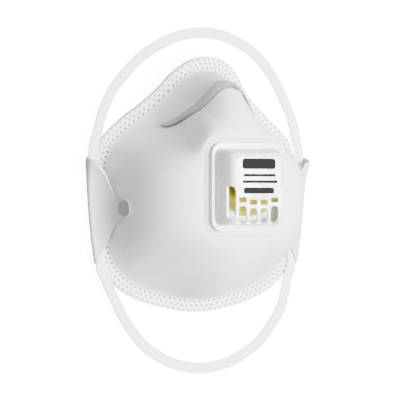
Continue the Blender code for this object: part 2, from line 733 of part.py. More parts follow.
def make_strap_arch(name, route, mouth_y, lean, lean_run):
    """A strap from one wing's mouth to the other, lying round the mask, with its origin on its swing axis."""
    straight_y = mouth_y + math.copysign(STRAP_GUIDE, mouth_y)
    half = [(strap_x(straight_y), straight_y), *route]
    left = [(-x, y) for x, y in half[:-1]]
    line = smooth_curve(half + left[::-1], STRAP_POINTS)
    step = math.dist(line[0], line[1])
    points = [(strap_x(mouth_y), mouth_y, TUNNEL_Z)]
    for i, (x, y) in enumerate(line):
        run = min(i, STRAP_POINTS - 1 - i) * step
        x += lean * eased(run / lean_run)
        lowered = eased((run - STRAP_HOLD) / STRAP_DESCENT)
        points.append((x, y, TUNNEL_Z + (STRAP_REST_Z - TUNNEL_Z) * lowered))
    points.append((-strap_x(mouth_y), mouth_y, TUNNEL_Z))
    strap_curve(name, points, (0, mouth_y, TUNNEL_Z))


def make_strap_run(name, side):
    """The stretch of the strap inside a wing's tunnel."""
    ends = (MOUTH_TOP_Y - TUNNEL_END_GAP, MOUTH_BOTTOM_Y + TUNNEL_END_GAP)
    points = [(side * strap_x(y), y, TUNNEL_Z) for y in ends]
    strap_curve(name, points, (0, 0, 0))


def main():
    global parts, cutters
    clear_scene()
    parts = new_collection("dust_mask")
    cutters = new_collection("cutters")
    cutters.hide_render = True
    make_cup()
    make_nose_clip()
    make_nose_foam()
    make_valve_base()
    make_backing_ring()
    make_valve_flap()
    make_valve_cover()
    for name, side in (("left", -1), ("right", 1)):
        make_wing(f"{name}_strap_wing", side)
        make_strap_run(f"{name}_strap_run", side)
    make_strap_arch("upper_strap", UPPER_ROUTE, MOUTH_TOP_Y, UPPER_LEAN, UPPER_LEAN_RUN)
    make_strap_arch("lower_strap", LOWER_ROUTE, MOUTH_BOTTOM_Y, LOWER_LEAN, LOWER_LEAN_RUN)


main()
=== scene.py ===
"""Disposable dust mask: the looks of its cup, valve, nose clip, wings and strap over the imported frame."""

import math

import bmesh
import bpy
import numpy as np
from bpy.props import FloatProperty, FloatVectorProperty, IntProperty, PointerProperty
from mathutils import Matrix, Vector


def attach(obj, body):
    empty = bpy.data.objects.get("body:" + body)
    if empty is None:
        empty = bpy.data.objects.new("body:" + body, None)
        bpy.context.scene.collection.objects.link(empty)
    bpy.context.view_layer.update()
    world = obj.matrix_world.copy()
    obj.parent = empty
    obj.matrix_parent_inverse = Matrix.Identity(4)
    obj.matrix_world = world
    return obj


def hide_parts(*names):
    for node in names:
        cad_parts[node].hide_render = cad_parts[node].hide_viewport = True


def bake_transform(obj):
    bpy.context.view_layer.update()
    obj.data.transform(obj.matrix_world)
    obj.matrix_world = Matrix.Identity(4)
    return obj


bl_info = {
    "name": "Dust Mask",
    "version": (1, 0, 0),
    "blender": (4, 5, 0),
    "location": "View3D > Sidebar > Dust Mask",
    "description": "Builds the cup, valve, clip, wings and strap of a moulded dust mask",
    "category": "Object",
}

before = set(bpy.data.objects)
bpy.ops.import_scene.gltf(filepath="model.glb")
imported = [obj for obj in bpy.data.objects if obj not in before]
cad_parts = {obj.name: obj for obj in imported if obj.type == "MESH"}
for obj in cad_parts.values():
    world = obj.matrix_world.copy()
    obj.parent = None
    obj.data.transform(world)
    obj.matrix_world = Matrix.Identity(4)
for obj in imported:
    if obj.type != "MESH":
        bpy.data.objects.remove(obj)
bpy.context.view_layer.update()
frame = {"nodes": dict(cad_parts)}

# Rim and cup
RIM_HALF_WIDTH = 0.0665
RIM_HALF_HEIGHT = 0.070
FLANGE_WIDTH = 0.0068
NOSE_LIFT = 0.0124
LIFT_START_Y = 0.034
LIFT_BEND = 1.25
RIM_SHAPE = (
    (0.0, 1.0), (0.149, 0.98), (0.229, 0.94), (0.334, 0.861), (0.403, 0.781), (0.528, 0.663), (0.696, 0.546),
    (0.856, 0.427), (0.941, 0.336), (0.992, 0.17), (1.00, 0.00), (0.992, -0.243), (0.975, -0.47),
    (0.935, -0.60), (0.88, -0.70), (0.80, -0.78), (0.683, -0.853), (0.55, -0.905), (0.392, -0.949),
    (0.129, -0.996), (0.00, -1.00),
)
CUP_DEPTH = 0.050
LAYER_GAP = 0.0003
OUTER_THICKNESS = 0.0004
FILTER_THICKNESS = 0.0004
SUPPORT_THICKNESS = 0.0005
LAYERS_THICKNESS = OUTER_THICKNESS + FILTER_THICKNESS + SUPPORT_THICKNESS + 2 * LAYER_GAP
BOSS_STEP = 0.0012
BOSS_SLOPE = 0.0022
# Angle in degrees from +X to the nose, lean, rise and crown of the wall there
WALL_STATIONS = (
    (-90, 0.0020, 0.020, 0.0150),
    (-50, 0.0110, 0.018, 0.0090),
    (-22, 0.0028, 0.024, 0.0175),
    (4, 0.0025, 0.024, 0.0180),
    (46, 0.0165, 0.016, 0.0045),
    (68, 0.0110, 0.0185, 0.0105),
    (90, 0.0030, 0.020, 0.0190),
)
VALVE_Y = -0.0014
BOSS_SIZE = (0.0242, 0.0254, 0.0080)
HOLE_SIZE = (0.0148, 0.0149, 0.0054)

# Valve
COVER_FRONT_Z = 0.0634

# Nose clip and foam
CLIP_LENGTH = 0.090
CLIP_WIDTH = 0.0049
CLIP_THICKNESS = 0.0008
CLIP_HEIGHTS = (0.0328, 0.0065)
CLIP_GAP = 0.0006
FLOOR_GAP = 0.0002
# How far the clip's middle line lies up the wall for each step of height
CLIP_SLANT = 1.25
# Sine of the direction in which the clip's ends lie
CLIP_END_CLIMB = 0.745
# Crown of the clip's face, and depth of its two grooves
CLIP_CROWN = 0.00012
CLIP_GROOVE_DEPTH = 0.00014
FOAM_LENGTH = 0.086
FOAM_WIDTH = 0.0095
FOAM_THICKNESS = 0.0036
FOAM_HEIGHTS = (0.0215, 0.0090)
FOAM_GAP = 0.0012
STRIP_START = 0.12 * math.pi
STRIP_TIP_ANGLE = 0.22 * math.pi

# Wings
FIT_GAP = 0.0003
WING_TOP_Y = 0.0165
WING_BOTTOM_Y = -0.0430
# How far the wings' folds stand out past the rim
WING_TOP_OVERHANG = 0.0050
WING_BOTTOM_OVERHANG = 0.0003
WING_TOP_REACH = RIM_HALF_WIDTH + WING_TOP_OVERHANG
WING_BOTTOM_REACH = RIM_HALF_WIDTH + WING_BOTTOM_OVERHANG
WING_THICKNESS = 0.0005
WING_BULGE = 0.0016
# The leaf of a wing, from its fold to its weld: shares of its run and of its height there
LEAF_RUN = (0.0, 0.18, 0.36, 0.58, 0.80, 1.0)
LEAF_SPREAD = (1.0, 0.86, 0.75, 0.57, 0.30, 0.0)
LEAF_CUT = 0.0040
WING_FLARE = 0.0026
MOUTH_RISE = 0.0055
FLARE_BEND = 6
WELD_RUN = 0.003
WELD_Y = -0.0135
WELD_Z = 0.0168
WELD_SIZE = 0.0088

# Strap
STRAP_WIDTH = 0.0060
STRAP_THICKNESS = 0.0009
STRAP_CLEARANCE = 0.0004
STRAP_REST_Z = 0.0005
MOUTH_TOP_Y = 0.0175
MOUTH_BOTTOM_Y = -0.0450
TUNNEL_END_GAP = 0.0018
STRAP_GUIDE = 0.0012
UPPER_ROUTE = (
    (0.0634, 0.0354), (0.0586, 0.0465), (0.0515, 0.0575), (0.0413, 0.0686), (0.0337, 0.0741),
    (0.0229, 0.0796), (0.0120, 0.0831), (0.0, 0.0843),
)
LOWER_ROUTE = (
    (0.0608, -0.0495), (0.0594, -0.0541), (0.0576, -0.0587), (0.0557, -0.0633), (0.0528, -0.0698),
    (0.0457, -0.0796), (0.0375, -0.0882), (0.0296, -0.0932), (0.0210, -0.0975), (0.0095, -0.1004),
    (0.0, -0.1012),
)
UPPER_LEAN = (0.0054, 0.090)
LOWER_LEAN = (0.0040, 0.034)
STRAP_HOLD = 0.013
STRAP_DESCENT = 0.024

WING_LEVEL = LAYERS_THICKNESS - WING_THICKNESS / 2
FOLD_RADIUS = (STRAP_THICKNESS + WING_THICKNESS) / 2 + STRAP_CLEARANCE
TUNNEL_Z = WING_LEVEL + FOLD_RADIUS
VALVE_CENTRE = np.array((0.0, VALVE_Y, 0.0))


class CupLook(bpy.types.PropertyGroup):
    columns: IntProperty(name="Columns", description="Faces round the cup", default=336, min=48)
    wall_rows: IntProperty(name="Wall rows", description="Faces up the cup's wall", default=44, min=8)
    white: FloatVectorProperty(
        name="Cup white", description="Colour of the outer layer", subtype="COLOR",
        default=(0.74, 0.75, 0.765),
    )
    felt: FloatVectorProperty(
        name="Felt white", description="Colour of the inner cup", subtype="COLOR", default=(0.76, 0.76, 0.74)
    )
    dot_pitch: FloatProperty(
        name="Dot pitch", description="Step of the welding dots along the rim", subtype="DISTANCE",
        default=0.0035,
    )
    dot_radius: FloatProperty(
        name="Dot radius", description="Radius of a welding dot", subtype="DISTANCE", default=0.00078
    )
    row_pitch: FloatProperty(
        name="Row pitch", description="Step between the rows of dots", subtype="DISTANCE", default=0.0024
    )


class ClipLook(bpy.types.PropertyGroup):
    columns: IntProperty(name="Columns", description="Faces along the strip", default=120, min=16)
    metal: FloatVectorProperty(
        name="Strip colour", description="Colour of the nose clip", subtype="COLOR",
        default=(0.40, 0.41, 0.425),
    )
    foam: FloatVectorProperty(
        name="Foam colour", description="Colour of the nose foam", subtype="COLOR", default=(0.62, 0.62, 0.60)
    )


class ValveLook(bpy.types.PropertyGroup):
    frame: FloatVectorProperty(
        name="Frame colour", description="Colour of the frame", subtype="COLOR", default=(0.80, 0.805, 0.80)
    )
    cover: FloatVectorProperty(
        name="Cover colour", description="Colour of the cover", subtype="COLOR", default=(0.79, 0.795, 0.765)
    )
    flap: FloatVectorProperty(
        name="Flap colour", description="Colour of the flap", subtype="COLOR", default=(0.40, 0.31, 0.022)
    )
    edge: FloatProperty(
        name="Edge", description="Width of the rounded edges", subtype="DISTANCE", default=0.00035
    )


class WingLook(bpy.types.PropertyGroup):
    columns: IntProperty(name="Columns", description="Faces up a wing", default=48, min=8)
    # The wings are of the cup's white nonwoven; this darker grey is painted shade.
    grey: FloatVectorProperty(
        name="Wing grey", description="Colour of the wings", subtype="COLOR", default=(0.56, 0.565, 0.575)
    )


class StrapLook(bpy.types.PropertyGroup):
    points: IntProperty(name="Points", description="Rings along an arch", default=150, min=30)
    white: FloatVectorProperty(
        name="Strap white", description="Colour of the elastic", subtype="COLOR", default=(0.97, 0.97, 0.965)
    )


class StageLook(bpy.types.PropertyGroup):
    key: FloatProperty(name="Key light", description="Strength of the key light in watts", default=58.0)
    fill: FloatProperty(name="Fill light", description="Strength of the room's light", default=0.52)
    turn: FloatProperty(
        name="Camera turn", description="How far the camera stands to the left", subtype="ANGLE",
        default=math.radians(33.4),
    )
    distance: FloatProperty(
        name="Camera distance", description="From the mask to the camera", subtype="DISTANCE", default=2.4
    )
    view_width: FloatProperty(
        name="View width", description="Width that the camera sees at the mask", subtype="DISTANCE",
        default=0.2212,
    )


class Wire:
    """A shader socket on which arithmetic adds nodes."""

    def __init__(self, finish, socket):
        self.finish = finish
        self.socket = socket

    def math(self, operation, *others, **settings):
        return self.finish.node("ShaderNodeMath", {"operation": operation, **settings}, [self, *others])

    def __add__(self, other):
        return self.math("ADD", other)

    __radd__ = __add__

    def __sub__(self, other):
        return self.math("SUBTRACT", other)

    def __rsub__(self, other):
        return self.finish.node("ShaderNodeMath", {"operation": "SUBTRACT"}, [other, self])

    def __mul__(self, other):
        return self.math("MULTIPLY", other)

    __rmul__ = __mul__

    def __truediv__(self, other):
        return self.math("DIVIDE", other)

    def __mod__(self, other):
        return self.math("FLOORED_MODULO", other)

    def __pow__(self, other):
        return self.math("POWER", other)

    def __abs__(self):
        return self.math("ABSOLUTE")

    def floor(self):
        return self.math("FLOOR")

    def least(self, other):
        return self.math("MINIMUM", other)

    def most(self, other):
        return self.math("MAXIMUM", other)

    def step(self, low, high):
        """0 below low, 1 above high and smooth between; falls instead where low is above high."""
        settings = {"interpolation_type": "SMOOTHSTEP"}
        ends = {"From Min": min(low, high), "From Max": max(low, high)}
        rising = self.finish.node("ShaderNodeMapRange", settings, {"Value": self, **ends})
        return rising if low < high else 1 - rising


class Finish:
    """A material under construction."""

    def __init__(self, name):
        self.material = bpy.data.materials.new(name)
        self.material.use_nodes = True
        self.tree = self.material.node_tree
        self.shader = self.tree.nodes["Principled BSDF"]

    def node(self, kind, settings=None, inputs=(), output=0):
        node = self.tree.nodes.new(kind)
        for name, value in (settings or {}).items():
            setattr(node, name, value)
        pairs = inputs.items() if isinstance(inputs, dict) else enumerate(inputs)
        for key, value in pairs:
            self.join(node.inputs[key], value)
        return Wire(self, node.outputs[output])

    def join(self, socket, value):
        if isinstance(value, Wire):
            self.tree.links.new(value.socket, socket)
        elif isinstance(value, (tuple, list)) and socket.type == "RGBA":
            socket.default_value = (*value[:3], 1)
        else:
            socket.default_value = value

    def feed(self, **values):
        for name, value in values.items():
            self.join(self.shader.inputs[name.replace("_", " ")], value)
        return self

    def place(self):
        """Where a point of the surface lies, in metres in the mask's frame."""
        return self.node("ShaderNodeTexCoord", output="Object")

    def split(self, vector):
        parts = self.node("ShaderNodeSeparateXYZ", None, [vector])
        outputs = parts.socket.node.outputs
        return [Wire(self, outputs[k]) for k in range(3)]

    def noise(self, vector, scale, detail=2.0, roughness=0.5):
        inputs = {"Vector": vector, "Scale": scale, "Detail": detail, "Roughness": roughness}
        return self.node("ShaderNodeTexNoise", None, inputs)

    def stretched(self, vector, scale):
        return self.node("ShaderNodeVectorMath", {"operation": "MULTIPLY"}, [vector, scale])

    def blend(self, amount, first, second):
        node = self.tree.nodes.new("ShaderNodeMix")
        node.data_type = "RGBA"
        self.join(node.inputs[0], amount)
        self.join(node.inputs[6], first)
        self.join(node.inputs[7], second)
        return Wire(self, node.outputs[2])

    def shade(self, colour, level):
        """A colour made lighter or darker by a value about 1."""
        grey = self.node("ShaderNodeCombineXYZ", None, [level, level, level])
        return self.node("ShaderNodeVectorMath", {"operation": "MULTIPLY"}, [colour, grey])

    def bump(self, height, depth, strength=1.0):
        inputs = {"Height": height, "Distance": depth, "Strength": strength}
        return self.node("ShaderNodeBump", None, inputs)

    def cover(self, amount, colour):
        """Lays a dull colour over the surface where amount is 1."""
        output = self.tree.nodes["Material Output"]
        dull = self.node("ShaderNodeBsdfDiffuse", None, {"Color": colour})
        mixed = self.node("ShaderNodeMixShader", None, [amount, Wire(self, self.shader.outputs[0]), dull])
        self.join(output.inputs["Surface"], mixed)

    def paint(self, *objects):
        for obj in objects:
            obj.data.materials.clear()
            obj.data.materials.append(self.material)


def smooth_curve(points, count, closed=False):
    """count points at equal steps along a smooth curve through the given points."""
    knots = np.array(points, float)
    if closed:
        knots = np.vstack([knots[-1:], knots, knots[:2]])
    else:
        knots = np.vstack([2 * knots[0] - knots[1], knots, 2 * knots[-1] - knots[-2]])
    times = np.concatenate([[0], np.cumsum(np.linalg.norm(np.diff(knots, axis=0), axis=1))])
    slopes = (knots[2:] - knots[:-2]) / (times[2:] - times[:-2])[:, None]
    inner, times = knots[1:-1], times[1:-1]
    dense = []
    for i in range(len(inner) - 1):
        span = times[i + 1] - times[i]
        for u in np.linspace(0, 1, 24, endpoint=False):
            start = (1 + 2 * u) * (1 - u) ** 2 * inner[i] + u * (1 - u) ** 2 * span * slopes[i]
            end = u * u * (3 - 2 * u) * inner[i + 1] + u * u * (u - 1) * span * slopes[i + 1]
            dense.append(start + end)
    dense.append(inner[-1])
    dense = np.array(dense)
    run = np.concatenate([[0], np.cumsum(np.linalg.norm(np.diff(dense, axis=0), axis=1))])
    stops = np.linspace(0, run[-1], count, endpoint=not closed)
    return np.stack([np.interp(stops, run, dense[:, k]) for k in range(dense.shape[1])], axis=1)


def rim_lift(y):
    """How far the rim stands off its plane at a height up the mask."""
    share = max(0.0, y - LIFT_START_Y) / (RIM_HALF_HEIGHT - LIFT_START_Y)
    return NOSE_LIFT * share**LIFT_BEND


def rim_outline(count):
    """Outer edge of the rim, anticlockwise from the chin."""
    half = [(x * RIM_HALF_WIDTH, y * RIM_HALF_HEIGHT) for x, y in RIM_SHAPE]
    left = [(-x, y) for x, y in half[1:-1]]
    return smooth_curve(half[::-1] + left, count, closed=True)


def inset(outline, distance):
    along = np.roll(outline, -1, axis=0) - np.roll(outline, 1, axis=0)
    along /= np.linalg.norm(along, axis=1)[:, None]
    return outline + distance * np.stack([-along[:, 1], along[:, 0]], axis=1)


def rounded_reach(angle, half_width, half_height, corner):
    """How far a rounded rectangle's edge lies from its centre in a direction."""
    across, up = abs(math.cos(angle)), abs(math.sin(angle))
    if across * (half_height - corner) >= up * half_width:
        return half_width / across
    if up * (half_width - corner) >= across * half_height:
        return half_height / up
    middle = Vector((half_width - corner, half_height - corner))
    near = middle.dot((across, up))
    return near + math.sqrt(max(0.0, near * near - middle.length_squared + corner * corner))


RIM_DENSE = rim_outline(720)
FOOT_DENSE = inset(RIM_DENSE, FLANGE_WIDTH)
FOOT_ANGLES = np.unwrap(np.arctan2(FOOT_DENSE[:, 1] - VALVE_Y, FOOT_DENSE[:, 0]))
FOOT_REACHES = np.hypot(FOOT_DENSE[:, 0], FOOT_DENSE[:, 1] - VALVE_Y)


def foot_reach(angle):
    """How far the wall's foot lies from the valve's axis in a direction."""
    turned = FOOT_ANGLES[0] + (angle - FOOT_ANGLES[0]) % (2 * math.pi)
    return float(np.interp(turned, FOOT_ANGLES, FOOT_REACHES, period=2 * math.pi))


def wall_shape(angle):
    """Lean, rise and crown of the wall in a direction, eased between the stations."""
    side = math.degrees(math.asin(max(-1.0, min(1.0, math.sin(angle)))))
    for before, after in zip(WALL_STATIONS, WALL_STATIONS[1:]):
        if side <= after[0]:
            break
    share = (side - before[0]) / (after[0] - before[0])
    eased = share * share * (3 - 2 * share)
    return [a + (b - a) * eased for a, b in zip(before[1:], after[1:])]


def bezier(p0, p1, p2, p3, t):
    s = 1 - t
    return s**3 * p0 + 3 * s * s * t * p1 + 3 * s * t * t * p2 + t**3 * p3


def wall_point(angle, t):
    """A point of the cup's outer face: t is 0 at the wall's foot and 1 at the foot of the boss."""
    lean, rise, crown = wall_shape(angle)
    foot = foot_reach(angle)
    boss = BOSS_SLOPE + rounded_reach(angle, *BOSS_SIZE)
    top = CUP_DEPTH - BOSS_STEP
    foot_z = LAYERS_THICKNESS + rim_lift(VALVE_Y + foot * math.sin(angle))
    reach = bezier(foot, foot - lean, boss + crown, boss, t)
    z = bezier(foot_z, foot_z + rise, top, top, t)
    return VALVE_CENTRE + (reach * math.cos(angle), reach * math.sin(angle), z)


def unit(vector):
    return vector / np.linalg.norm(vector)


def wall_at_height(angle, z):
    """Where the wall passes a height: (point, direction up the wall, outward normal)."""
    low, high = 0.0, 1.0
    for _ in range(30):
        middle = (low + high) / 2
        if wall_point(angle, middle)[2] < z:
            low = middle
        else:
            high = middle
    small = 1e-3
    up = unit(wall_point(angle, min(1, low + small)) - wall_point(angle, low - small))
    along = wall_point(angle + small, low) - wall_point(angle - small, low)
    return wall_point(angle, low), up, unit(np.cross(along, up))


def surface(name, grid, closed=False, run=None, across=None):
    """A mesh over a grid of points in rows, with its distances along and across the rows as UVs."""
    rows, columns = len(grid), len(grid[0])
    points = np.array(grid, float).reshape(-1, 3)
    spans = columns if closed else columns - 1
    faces, places = [], []
    for r in range(rows - 1):
        for c in range(spans):
            n = (c + 1) % columns
            faces.append((r * columns + c, r * columns + n, (r + 1) * columns + n, (r + 1) * columns + c))
            places += [(r, c), (r, c + 1), (r + 1, c + 1), (r + 1, c)]
    mesh = bpy.data.meshes.new(name)
    mesh.from_pydata(points.tolist(), [], faces)
    if run is not None:
        layer = mesh.uv_layers.new(name="UVMap")
        layer.data.foreach_set("uv", [x for r, c in places for x in (run[c], across[r][c % columns])])
    mesh.shade_smooth()
    obj = bpy.data.objects.new(name, mesh)
    bpy.context.scene.collection.objects.link(obj)
    return obj


def settle(obj):
    """Turns an object's modifiers into plain mesh."""
    bpy.context.view_layer.update()
    done = bpy.data.meshes.new_from_object(obj.evaluated_get(bpy.context.evaluated_depsgraph_get()))
    old = obj.data
    obj.modifiers.clear()
    obj.data = done
    done.name = obj.name
    bpy.data.meshes.remove(old)
    return obj


def thicken(obj, thickness, offset):
    """Gives a surface its thickness: -1 grows it behind its face, 1 in front of it and 0 both ways."""
    solid = obj.modifiers.new("Thickness", "SOLIDIFY")
    solid.thickness = thickness
    solid.offset = offset
    return settle(obj)


def cup_grid(columns, wall_rows, depth):
    """Rows of points over the cup from the rim's edge to the valve hole, a depth below its outer face."""
    edge = rim_outline(columns)
    foot = inset(edge, FLANGE_WIDTH)
    angles = [math.atan2(y - VALVE_Y, x) for x, y in foot]
    rows = []
    flange_rows = 6
    for step in range(flange_rows):
        share = step / flange_rows
        line = edge + (foot - edge) * share
        rows.append([(x, y, LAYERS_THICKNESS + rim_lift(y)) for x, y in line])
    for step in range(wall_rows + 1):
        t = step / wall_rows
        rows.append([wall_point(a, t) for a in angles])
    slope_rows = 4
    for step in range(1, slope_rows + 1):
        share = step / slope_rows
        eased = share * share * (3 - 2 * share)
        row = []
        for a in angles:
            reach = rounded_reach(a, *BOSS_SIZE) + BOSS_SLOPE * (1 - share)
            z = CUP_DEPTH - BOSS_STEP * (1 - eased)
            row.append((reach * math.cos(a), VALVE_Y + reach * math.sin(a), z))
        rows.append(row)
    for step in range(1, 4):
        row = []
        for a in angles:
            outer, inner = rounded_reach(a, *BOSS_SIZE), rounded_reach(a, *HOLE_SIZE)
            reach = outer + (inner - outer) * step / 3
            row.append((reach * math.cos(a), VALVE_Y + reach * math.sin(a), CUP_DEPTH))
        rows.append(row)
    grid = np.array(rows, float)
    soft = grid.copy()
    for _ in range(3):
        middle = (soft[:-2] + 2 * soft[1:-1] + soft[2:]) / 4
        near_foot = slice(flange_rows - 2, flange_rows + 2)
        soft[near_foot] = middle[flange_rows - 3:flange_rows + 1]
    grid = soft
    along = np.roll(grid, -1, axis=1) - np.roll(grid, 1, axis=1)
    up = np.gradient(grid, axis=0)
    normals = np.cross(along, up)
    normals /= np.linalg.norm(normals, axis=2)[:, :, None]
    return grid - depth * normals


def rim_run(columns, pitch):
    """Distance along the rim at each column, stretched so that a whole number of pitches fits."""
    edge = rim_outline(columns)
    steps = np.linalg.norm(np.roll(edge, -1, axis=0) - edge, axis=1)
    run = np.concatenate([[0], np.cumsum(steps)])
    return run * round(run[-1] / pitch) * pitch / run[-1]


def build_layer(name, node, depth, thickness, columns, wall_rows, pitch):
    """One moulded layer of the cup, in place of its CAD node."""
    grid = cup_grid(columns, wall_rows, depth)
    steps = np.linalg.norm(np.diff(grid, axis=0), axis=2)
    across = np.concatenate([np.zeros((1, columns)), np.cumsum(steps, axis=0)])
    layer = surface(name, grid, closed=True, run=rim_run(columns, pitch), across=across)
    thicken(layer, thickness, -1)
    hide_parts(node)
    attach(layer, "mask")
    return layer


def dot_rows(finish, look, rows=3, start=-0.0002):
    """How much of a welding dot a point of the rim holds: 0 outside the dots and 1 in their middles."""
    u, v, _ = finish.split(finish.node("ShaderNodeUVMap", {"uv_map": "UVMap"}))
    row = (v - start) / look.row_pitch
    line = row.floor()
    shifted = u / look.dot_pitch + line * 0.5
    along = (shifted - shifted.floor() - 0.5) * look.dot_pitch
    across = (row - line - 0.5) * look.row_pitch
    distance = (along * along + across * across) ** 0.5
    inside = line.step(-0.6, -0.4) * (line.step(rows - 0.4, rows - 0.6))
    return distance.step(look.dot_radius * 1.2, look.dot_radius * 0.7) * inside, v, line


def over_clip(finish, place):
    """How far a point of the wall lies above the middle of the nose clip, and 1 where the clip runs."""
    x, y, z = finish.split(place)
    up = y - VALVE_Y
    climb = up / (x * x + up * up) ** 0.5
    fall = (CLIP_HEIGHTS[1] - CLIP_HEIGHTS[0]) / (1 - math.sin(STRIP_TIP_ANGLE))
    level = CLIP_HEIGHTS[0] + fall * (1 - climb)
    return (z - level) * CLIP_SLANT, climb.step(CLIP_END_CLIMB - 0.03, CLIP_END_CLIMB + 0.01)


def cover_finish(look):
    """Outer layer: fine matt nonwoven, dotted with small welds along the rim, with a painted shadow under and
    beside the nose clip.
    """
    finish = Finish("outer_nonwoven")
    place = finish.place()
    dots, v, line = dot_rows(finish, look)
    over, along_clip = over_clip(finish, place)
    half = CLIP_WIDTH / 2
    # Painted shadow: the wall is darkened under the nose clip and a little past its edge towards the valve.
    clip_shadow = over.step(-half - 0.0006, -half) * over.step(half + 0.0015, half + 0.0002) * along_clip
    fibres = finish.noise(finish.stretched(place, (1.0, 2.2, 1.0)), 1500, 3.0, 0.6)
    clouds = finish.noise(place, 70, 2.0)
    flange = v.step(FLANGE_WIDTH + 0.0003, FLANGE_WIDTH - 0.0003)
    level = 0.965 + 0.045 * fibres + 0.03 * clouds
    bright = tuple(min(0.95, c * 1.2) for c in look.white)
    colour = finish.blend(flange, tuple(look.white), bright)
    strong = 0.62 + 0.35 * line.step(-0.5, 2.5)
    colour = finish.blend(dots * strong, finish.shade(colour, level), (0.16, 0.165, 0.175))
    # Lays the painted shadow of the nose clip over the wall.
    colour = finish.blend(clip_shadow * 0.72, colour, (0.10, 0.10, 0.105))
    height = fibres * 0.12 + clouds * 0.1 - dots
    finish.feed(Base_Color=colour, Roughness=0.86, Normal=finish.bump(height, 0.0003))
    finish.feed(Sheen_Weight=0.15, Sheen_Roughness=0.5)
    return finish


def felt_finish(name, colour, look, grain=900):
    """Inner layers: soft felt with a faint pressed net."""
    finish = Finish(name)
    place = finish.place()
    dots, v, _ = dot_rows(finish, look)
    fibres = finish.noise(finish.stretched(place, (1.6, 1.0, 1.0)), grain, 4.0, 0.65)
    x, y, _ = finish.split(place)
    pitch = 0.0022
    net = abs((x + y) / pitch % 1 - 0.5).most(abs((x - y) / pitch % 1 - 0.5)).step(0.40, 0.5)
    inner = v.step(FLANGE_WIDTH, FLANGE_WIDTH + 0.001)
    level = 0.93 + 0.1 * fibres - 0.05 * net * inner
    shade = finish.blend(dots * 0.5, finish.shade(colour, level), (0.4, 0.4, 0.4))
    height = fibres * 0.5 - net * inner * 0.4 - dots
    finish.feed(Base_Color=shade, Roughness=0.95, Normal=finish.bump(height, 0.0003))
    finish.feed(Sheen_Weight=0.25, Sheen_Roughness=0.6)
    return finish


def strip_lines(length, width, heights, columns, end_round, offsets):
    """Rows of points along a strip that follows the wall over the nose.

    offsets gives each row's share of the half width and its height over the wall.
    """
    angles = np.linspace(STRIP_START, math.pi - STRIP_START, 161)
    drop = (1 - np.sin(angles)) / (1 - math.sin(STRIP_TIP_ANGLE))
    levels = heights[0] + (heights[1] - heights[0]) * drop
    line = np.array([wall_at_height(a, z)[0] for a, z in zip(angles, levels)])
    run = np.concatenate([[0], np.cumsum(np.linalg.norm(np.diff(line, axis=0), axis=1))])
    run -= run[-1] / 2
    grid = [[] for _ in offsets]
    for stop in np.sin(np.linspace(-math.pi / 2, math.pi / 2, columns)):
        angle = float(np.interp(-stop * length / 2, run, angles))
        level = float(np.interp(-stop * length / 2, run, levels))
        up = wall_at_height(angle, level)[1]
        left = (1 - abs(stop)) * length / 2
        half = width / 2
        if left < end_round:
            half *= math.sqrt(max(0.02, 1 - (1 - left / end_round) ** 2))
        stops = (-1.0, -0.5, 0.0, 0.5, 1.0)
        sides = [wall_at_height(angle, level + share * half * up[2]) for share in stops]
        for row, (share, height) in zip(grid, offsets):
            point, out = [
                np.array([np.interp(share, stops, [side[k][n] for side in sides]) for n in range(3)])
                for k in (0, 2)
            ]
            row.append(point + height * out)
    return grid


def loop_solid(name, grid, run=None, across=None):
    """A closed body whose rows run round its section and whose columns run along it."""
    obj = surface(name, grid + [grid[0]], run=run, across=across)
    build = bmesh.new()
    build.from_mesh(obj.data)
    bmesh.ops.remove_doubles(build, verts=build.verts, dist=1e-6)
    edges = [e for e in build.edges if e.is_boundary]
    bmesh.ops.holes_fill(build, edges=edges, sides=0)
    bmesh.ops.recalc_face_normals(build, faces=build.faces)
    build.to_mesh(obj.data)
    build.free()
    obj.data.shade_smooth()
    return obj


def clip_section():
    """Section of the strip: rounded edges, two fine grooves along its face and a flat back."""
    face = []
    for share in np.linspace(0.94, -0.94, 25):
        groove = sum(math.exp(-(((share - middle) / 0.07) ** 2)) for middle in (-0.36, 0.36))
        crown = CLIP_CROWN * (1 - share * share)
        face.append((share, CLIP_GAP + CLIP_THICKNESS - CLIP_GROOVE_DEPTH * groove + crown))
    shoulder = CLIP_GAP + CLIP_THICKNESS * 0.7
    heel = CLIP_GAP + CLIP_THICKNESS * 0.2
    lower = [(-1.0, shoulder), (-1.0, heel), (-0.94, CLIP_GAP)]
    upper = [(0.94, CLIP_GAP), (1.0, heel), (1.0, shoulder)]
    return face + lower + upper


def foam_section(count=20):
    """Section of the foam: a flat back on the inner cup and a crowned face."""
    depth = LAYERS_THICKNESS + FOAM_GAP
    section = []
    for k in range(count):
        angle = 2 * math.pi * k / count
        share = math.copysign(abs(math.cos(angle)) ** 0.45, math.cos(angle))
        inward = 0.5 + 0.5 * math.copysign(abs(math.sin(angle)) ** 0.55, math.sin(angle))
        section.append((share, -depth - inward * FOAM_THICKNESS))
    return section


def softened(name, node, body, edge, sharp=35):
    """A copy of a CAD node with its edges rounded, in place of the node."""
    mesh = frame["nodes"][node].data.copy()
    mesh.name = name
    mesh.materials.clear()
    build = bmesh.new()
    build.from_mesh(mesh)
    bmesh.ops.remove_doubles(build, verts=build.verts, dist=1e-6)
    bmesh.ops.dissolve_limit(build, angle_limit=math.radians(1), verts=build.verts, edges=build.edges)
    build.to_mesh(mesh)
    build.free()
    obj = bpy.data.objects.new(name, mesh)
    bpy.context.scene.collection.objects.link(obj)
    round_off = obj.modifiers.new("Edges", "BEVEL")
    round_off.width = edge
    round_off.segments = 3
    round_off.limit_method = "ANGLE"
    round_off.angle_limit = math.radians(sharp)
    round_off.harden_normals = True
    obj.data.shade_smooth()
    settle(obj)
    obj.data.set_sharp_from_angle(angle=math.radians(50))
    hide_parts(node)
    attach(obj, body)
    return obj


